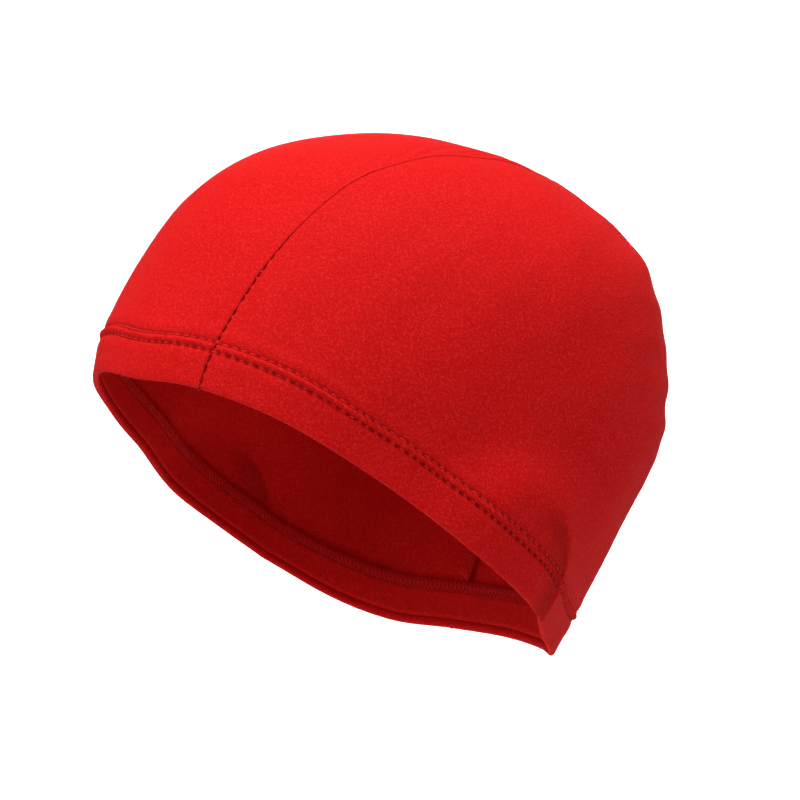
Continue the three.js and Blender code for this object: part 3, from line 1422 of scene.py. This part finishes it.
@dataclass
class Coverstitch:
    """Two rows of needle thread round the hem, and the looper thread inside."""

    cap: Cap
    names: tuple[str, str] = ("lower_stitch_row", "upper_stitch_row")
    radius: Pair = (0.17, 0.21)
    steps: int = 10
    stands: Pair = (0.12, 0.3)
    holes: Pair = (0.8, 0.42)
    dive: float = 0.7
    looper_radius: float = 0.15
    looper_steps: int = 8
    looper_reach: Pair = (-0.3, 0.1)
    looper_stands: Pair = (0.05, 0.1)

    def round_hem(self, steps: int) -> tuple[Rows, Rows]:
        """Runs and angles once round the hem, with this many steps to a stitch.

        Args:
            steps: Steps to a stitch.

        Returns:
            Runs in millimetres, and angles from -180 to 180 degrees.
        """
        hem = self.cap.hem
        count = hem.stitches * steps
        run = np.arange(count) / count * hem.whole
        return run, (hem.angle(run) + 180) % 360 - 180

    def needle_row(self, index: int) -> Piece:
        """One row outside: each stitch lies on the cloth and dives at its holes.

        Args:
            index: 0 for the lower row, 1 for the upper one.

        Returns:
            The thread.
        """
        cap, hem = self.cap, self.cap.hem
        run, angle = self.round_hem(self.steps)
        plan = cap.crown.risen(angle, np.full_like(angle, hem.rows[index]))
        lift, _ = cap.relief.height(plan * np.where(plan[:, :1] < 0, (-1, 1), (1, 1)), Side.LEFT)
        phase = (hem.beat(run) + 0.5) % 1 - 0.5
        dive = self.stands[index] - self.dive * hill(phase * hem.pitch, self.holes[index])
        line = cap.crown.cloth_at(plan, lift + dive)
        return cap.sew(self.names[index], [line], self.radius[index], "knit_hem", closed=True)

    def looper(self) -> Piece:
        """The zigzag inside the hem that holds both rows.

        Returns:
            The thread.
        """
        cap, hem = self.cap, self.cap.hem
        low, high = hem.rows
        below, above = self.looper_reach
        off, more = self.looper_stands
        run, angle = self.round_hem(self.looper_steps)
        lines = []
        for shift in (0.0, 0.5):
            swing = 2 * np.abs((run / hem.pitch + shift) % 1 - 0.5)
            plan = cap.crown.risen(angle, low + below + (high - low + above) * smooth(swing))
            lines.append(cap.crown.cloth_at(plan, -hem.thickness - off - more * shift))
        return cap.sew("hem_looper_thread", lines, self.looper_radius, "knit_hem", closed=True,
                       sides=0)


@dataclass
class SeamWork:
    """What holds a side panel to the centre: seam thread, knots, allowance and overlock."""

    cap: Cap
    side: Side
    # How far across the seam and how high off the cloth each point of a stitch lies.
    stitch: tuple[Pair, ...] = ((-1.0, -0.75), (-0.6, -0.42), (0.0, -0.32), (0.6, -0.42),
                                (1.0, -0.75))
    stitch_radius: float = 0.28
    stitch_reach: Pair = (0.45, 0.15)
    stitch_sunk: float = 0.35
    stitch_lean: float = 0.3
    end_run: float = 1.2
    knot_radius: float = 0.36
    knot_run: float = 0.9
    knot_form: Three = (0.6, 0.7, 0.5)
    knot_turns: float = 1.6
    knot_lean: float = 1.7
    knot_sunk: float = 0.9
    allowance: float = 5.0
    allowance_start: float = -1.0
    plies: float = 1.5
    inset: float = 1.05
    pucker: float = 0.12
    # Shade painted over the whole allowance.
    shade: float = 0.15
    clear_of_hem: float = 0.4
    overlock_pitch: float = 2.5
    overlock_steps: int = 12
    overlock_radius: float = 0.15
    # The loops' start past the seam, their end short of the edge, and the chain's way and swing.
    overlock_reach: Pair = (0.4, 0.2)
    overlock_turn: Pair = (0.5, 0.6)
    chain: Pair = (0.9, 0.3)
    chain_stands: float = 0.2
    loop_stands: float = 0.12

    def across_seam(self, run: Rows) -> tuple[Rows, Rows]:
        """Places along the seam, and the plan's step that is 1 mm towards the side panel.

        Args:
            run: Runs along the seam.

        Returns:
            Places and steps on the plan.
        """
        seam, small, reach = self.cap.seam, 1e-4, 0.01
        place = np.interp(run, seam.run, seam.places)
        plan = seam.at(place)
        ahead = seam.at(place + small) - seam.at(place - small)
        out = unit(np.stack([-ahead[:, 1], ahead[:, 0]], -1))
        out = out * np.where(out[:, :1] < 0, -1, 1)
        gap = self.cap.crown.bare(plan + out * reach) - self.cap.crown.bare(plan - out * reach)
        return plan, out * (2 * reach / np.linalg.norm(gap, axis=-1, keepdims=True))

    def mirror(self, points: Rows) -> Rows:
        """Points of the left seam, on this side."""
        return points * (self.side.value, 1, 1)

    def sew(self, what: str, lines: list[Rows], radius: float, **form: object) -> Piece:
        """Lays the cap's thread along lines of the left seam, on this side."""
        lines = [self.mirror(line) for line in lines]
        return self.cap.sew(f"{self.side.label}_{what}", lines, radius, "knit_panel", **form)

    def seam_thread(self) -> Piece:
        """Short stitches that cross the seam between its gaps.

        Returns:
            The stitches, as one piece.
        """
        seam, relief, crown = self.cap.seam, self.cap.relief, self.cap.crown
        ways = np.linspace(self.end_run, seam.run[-1] - self.end_run, 4000)
        beats = relief.seam_beat(ways)
        runs = np.interp(np.arange(np.ceil(beats[0]), beats[-1] - 0.5) + 0.5, beats, ways)
        opened = relief.seam_open(runs)
        swings, heights = np.array(self.stitch).T
        reach, more = self.stitch_reach
        lines = []
        for run, plan, step, share in zip(runs, *self.across_seam(runs), opened):
            spots = plan + step * (swings * (reach + more * share))[:, None]
            sunk = heights - self.stitch_sunk * (1 - share)
            line = crown.cloth_at(spots, sunk + relief.sway(crown.bare(spots)))
            lean = seam.way[np.searchsorted(seam.run, run)] * self.stitch_lean
            lines.append(line + lean * swings[:, None])
        return self.sew("seam_thread", lines, self.stitch_radius)

    def seam_knots(self) -> Piece:
        """The tied ends of the overlock thread at the hem's fold, painted nearly black as the
        shade they lie in.

        Returns:
            Both knots, as one piece.
        """
        crown, whole = self.cap.crown, self.cap.seam.run[-1]
        wide, tall, deep = self.knot_form
        turn = np.linspace(0, 2 * np.pi * self.knot_turns, 18)
        lines = []
        for run in (self.knot_run, whole - self.knot_run):
            plan, step = self.across_seam(np.array([run]))
            middle = crown.cloth_at(plan, -self.knot_sunk)[0]
            out = crown.normal(plan)[0]
            sideways = unit(crown.bare(plan + step * 0.1) - crown.bare(plan))[0]
            upward = np.cross(out, sideways)
            coil = (np.cos(turn)[:, None] * sideways * wide + np.sin(turn)[:, None] * upward * tall
                    + out * (deep * np.sin(turn * self.knot_lean))[:, None])
            lines.append(self.mirror(middle + coil))
        name = f"{self.side.label}_seam_knots"
        piece = Workroom.threads(name, lines, self.knot_radius)
        self.cap.dress(piece, self.cap.painted_shade_thread, "knit_panel")
        return piece

    def inner_rows(self) -> Pair:
        """Runs at which the allowance starts and ends, just above the hem's raw edge.

        Returns:
            The two runs, in millimetres.
        """
        seam, rise = self.cap.seam, self.cap.hem.raw_edge + self.clear_of_hem
        places = [seam.place(end, rise) for end in (End.FRONT, End.BACK)]
        low, high = np.interp(places, seam.places, seam.run)
        return float(low), float(high)

    def seam_allowance(self) -> Piece:
        """The two edges of cloth, laid flat inside the side panel.

        Returns:
            The allowance.
        """
        runs = np.linspace(*self.inner_rows(), 260)
        plan, step = self.across_seam(runs)
        offsets = np.linspace(self.allowance_start, self.allowance, 10)
        spots = plan[:, None] + step[:, None] * offsets[None, :, None]
        wave = self.pucker * np.sin(runs * 2 * np.pi / self.overlock_pitch)
        wave = wave[:, None] * smooth(offsets / 4)[None]
        points = self.cap.crown.cloth_at(spots, wave - self.inset)
        block = Block(self.mirror(points), np.full(wave.shape, self.shade))
        lean = SIDE_LEAN * self.side.value
        piece = Workroom.sheet(f"{self.side.label}_seam_allowance", [block], lean, self.plies)
        self.cap.dress(piece, self.cap.knit, "knit_panel")
        return piece

    def overlock(self) -> Piece:
        """Looper threads that run to and fro over the allowance and round its edge.

        Returns:
            The threads, as one piece.
        """
        low, high = self.inner_rows()
        pitch, steps, inside = self.overlock_pitch, self.overlock_steps, self.inset + self.plies
        count = int((high - low) / pitch) * steps
        plan, step = self.across_seam(low + np.arange(count) / steps * pitch)
        phase = np.arange(count) / steps % 1
        start, short = self.overlock_reach
        before, turn = self.overlock_turn
        offset = start + (self.allowance - short) * (2 * np.abs(phase - 0.5))
        over = rising(offset, self.allowance - before, turn)
        depth = -(inside + self.loop_stands) * (1 - over) - (self.inset + start) * over
        line = self.cap.crown.cloth_at(plan + step * offset[:, None], depth)
        way, swing = self.chain
        chain = plan + step * (way + swing * np.sin(phase * 2 * np.pi))[:, None]
        chain_line = self.cap.crown.cloth_at(chain, -(inside + self.chain_stands))
        return self.sew("overlock_thread", [line, chain_line], self.overlock_radius, sides=0)


@dataclass(frozen=True)
class Lamp:
    """A soft light round the cap, toward the camera's right, up and back."""

    name: str
    toward: Three
    power: float


@dataclass
class Studio:
    """A pale curved studio, soft lights, and the camera at the photograph's angle."""

    azimuth: float = 52.0
    elevation: float = 3.0
    roll: float = 1.5
    distance: float = 1.5
    scale: float = 3.09
    origin_pixel: Pair = (380.0, 136.5)
    frame_size: float = 800.0
    sensor: float = 36.0
    floor: float = -1.10
    radius: float = 3.4
    cove: float = 1.2
    wall: float = 5.0
    tone: Pair = (0.86, 0.04)
    sky: float = 0.01
    lamps: tuple[Lamp, ...] = (
        Lamp("top", (0.0, 1.0, 0.0), 57.0),
        Lamp("key", (-0.55, 0.7, 0.6), 27.0),
        Lamp("left", (-1.0, 0.1, 0.2), 9.0),
        Lamp("fill", (0.7, 0.7, 0.0), 16.0),
        Lamp("front", (0.0, 0.8, 0.7), 7.0),
    )
    lamp_distance: float = 2.4
    lamp_size: float = 1.3
    lit_height: float = -0.08
    wash_power: float = 28.0
    wash_size: float = 1.6
    wash_spread: float = 64.0
    # How far behind the cap and how high the wash stands, and how high it aims.
    wash_place: Three = (2.2, 1.7, -0.1)

    def axes(self) -> tuple[Vector, Vector, Vector]:
        """The camera's right, up and backward directions before it is aimed.

        Returns:
            Three directions, each one long.
        """
        turned, raised = np.radians(self.azimuth), np.radians(self.elevation)
        back = Vector((np.sin(turned) * np.cos(raised), -np.cos(turned) * np.cos(raised),
                       np.sin(raised)))
        right = Vector((np.cos(turned), np.sin(turned), 0.0))
        up = back.cross(right)
        leaned = Matrix.Rotation(np.radians(self.roll), 3, back)
        return leaned @ right, leaned @ up, back

    def camera(self) -> None:
        """Places the camera so that the cap lies in the frame as in the photograph."""
        right, up, back = self.axes()
        metre_pixels = self.scale * MILLIMETRES
        half = self.frame_size / 2
        aim = (right * ((half - self.origin_pixel[0]) / metre_pixels)
               - up * ((half - self.origin_pixel[1]) / metre_pixels))
        spot = back * self.distance
        away = (spot - aim).normalized()
        level = up.cross(away).normalized()
        data = bpy.data.cameras.new("camera")
        data.sensor_width = self.sensor
        data.lens = metre_pixels * self.distance * self.sensor / self.frame_size
        data.clip_end = 40.0
        camera = linked("camera", data)
        turn = Matrix((level, away.cross(level), away)).transposed().to_4x4()
        camera.matrix_world = Matrix.Translation(spot) @ turn
        bpy.context.scene.camera = camera

    def backdrop(self) -> None:
        """A round floor that curves up into a wall."""
        bm = bmesh.new()
        bmesh.ops.create_circle(bm, cap_ends=True, cap_tris=False, segments=96,
                                radius=self.radius)
        for vert in bm.verts:
            vert.co.z = self.floor
        rim = [edge for edge in bm.edges if edge.is_boundary]
        for turn in np.radians(np.arange(10, 91, 10)):
            reach = self.radius + self.cove * np.sin(turn)
            rim = self._grow(bm, rim, reach, self.floor + self.cove * (1 - np.cos(turn)))
        self._grow(bm, rim, self.radius + self.cove, self.wall)
        for face in bm.faces:
            face.smooth = True
        mesh = bpy.data.meshes.new("backdrop")
        bm.to_mesh(mesh)
        bm.free()
        mesh.flip_normals()
        stage = linked("backdrop", mesh)
        recipe = Recipe("pale_backdrop")
        plain, clouds = self.tone
        tone = plain + recipe.noise(recipe.place(), 1.4) * clouds
        stage.data.materials.append(recipe.finish({
            "Base Color": recipe.tinted((1.0, 1.0, 1.0), tone),
            "Roughness": 0.9,
        }))

    @staticmethod
    def _grow(bm: bmesh.types.BMesh, rim: list, reach: float, height: float) -> list:
        """Extrudes the rim to a new radius and height, and gives the new rim.

        Args:
            bm: The mesh that is being made.
            rim: The edges of the old rim.
            reach: The new radius.
            height: The new height.

        Returns:
            The edges of the new rim.
        """
        made = bmesh.ops.extrude_edge_only(bm, edges=rim)["geom"]
        for vert in (item for item in made if isinstance(item, bmesh.types.BMVert)):
            flat = Vector((vert.co.x, vert.co.y, 0.0)).normalized() * reach
            vert.co = (flat.x, flat.y, height)
        return [item for item in made if isinstance(item, bmesh.types.BMEdge)]

    @staticmethod
    def _light(name: str, spot: Vector, away: Vector, size: float,
               power: float) -> bpy.types.AreaLight:
        """Adds a round light.

        Args:
            name: The light's name.
            spot: Where it stands.
            away: The direction from what it lights to the light.
            size: Its width in metres.
            power: Its power in watts.

        Returns:
            The light's data.
        """
        data = bpy.data.lights.new(name, "AREA")
        data.shape = "DISK"
        data.size = size
        data.energy = power
        turn = away.to_track_quat("Z", "Y").to_matrix().to_4x4()
        linked(name, data).matrix_world = Matrix.Translation(spot) @ turn
        return data

    def soft_lamps(self) -> None:
        """Adds the lights round the cap."""
        right, up, back = self.axes()
        middle = Vector((0, 0, self.lit_height))
        for lamp in self.lamps:
            x, y, z = lamp.toward
            way = (right * x + up * y + back * z).normalized()
            spot = middle + way * self.lamp_distance
            self._light(lamp.name, spot, way, self.lamp_size, lamp.power)

    def wall_wash(self) -> None:
        """Lights the wall behind the cap, from above it and facing away from it."""
        back = self.axes()[2]
        behind = Vector((-back.x, -back.y, 0.0)).normalized()
        away, height, aim = self.wash_place
        spot = behind * away + Vector((0, 0, height))
        target = behind * (self.radius + self.cove) + Vector((0, 0, aim))
        data = self._light("wall_wash", spot, spot - target, self.wash_size, self.wash_power)
        data.spread = np.radians(self.wash_spread)

    def world(self) -> None:
        """An even pale sky over the studio."""
        world = bpy.data.worlds.new("pale_sky")
        world.use_nodes = True
        sky = world.node_tree.nodes["Background"].inputs
        sky["Color"].default_value = (1, 1, 1, 1)
        sky["Strength"].default_value = self.sky
        bpy.context.scene.world = world

    def build(self) -> None:
        """Sets up the whole studio."""
        self.camera()
        self.backdrop()
        self.world()
        self.soft_lamps()
        self.wall_wash()
        view = bpy.context.scene.view_settings
        view.view_transform = "Standard"
        view.look = "None"


def build_cap() -> None:
    """Builds every piece of the cap in order."""
    crown = Crown()
    seam = Seam(crown)
    hem = Hem(crown)
    relief = Relief(crown, seam, hem)
    knit = KnitFinish().build()
    thread = ThreadFinish("red_thread", (0.62, 0.012, 0.010)).build()
    # The knots' thread is the red thread painted nearly black, as shade.
    dark = ThreadFinish("red_thread_in_painted_shade", (0.05, 0.004, 0.004)).build()
    cap = Cap(crown, seam, hem, relief, knit, thread, dark)
    centre = CentrePanel(cap)
    strip = centre.build()
    hems = [centre.build_hem(end) for end in End]
    for side in Side:
        panel, work = SidePanel(cap, side), SeamWork(cap, side)
        sheet = panel.build()
        held = [panel.build_hem(), work.seam_thread(), work.seam_knots(), work.seam_allowance(),
                work.overlock()]
        cap.declare(sheet, panel.flat, panel.cut_area, held)
    stitching = Coverstitch(cap)
    rows = [stitching.needle_row(index) for index in range(len(hem.rows))]
    rows.append(stitching.looper())
    cap.declare(strip, centre.flat, centre.cut_area, hems + rows)


def main() -> None:
    """Builds the studio and the cap."""
    logging.basicConfig(level=logging.INFO, format="%(name)s: %(message)s")
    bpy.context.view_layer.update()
    Studio().build()
    build_cap()


if __name__ == "__main__":
    main()
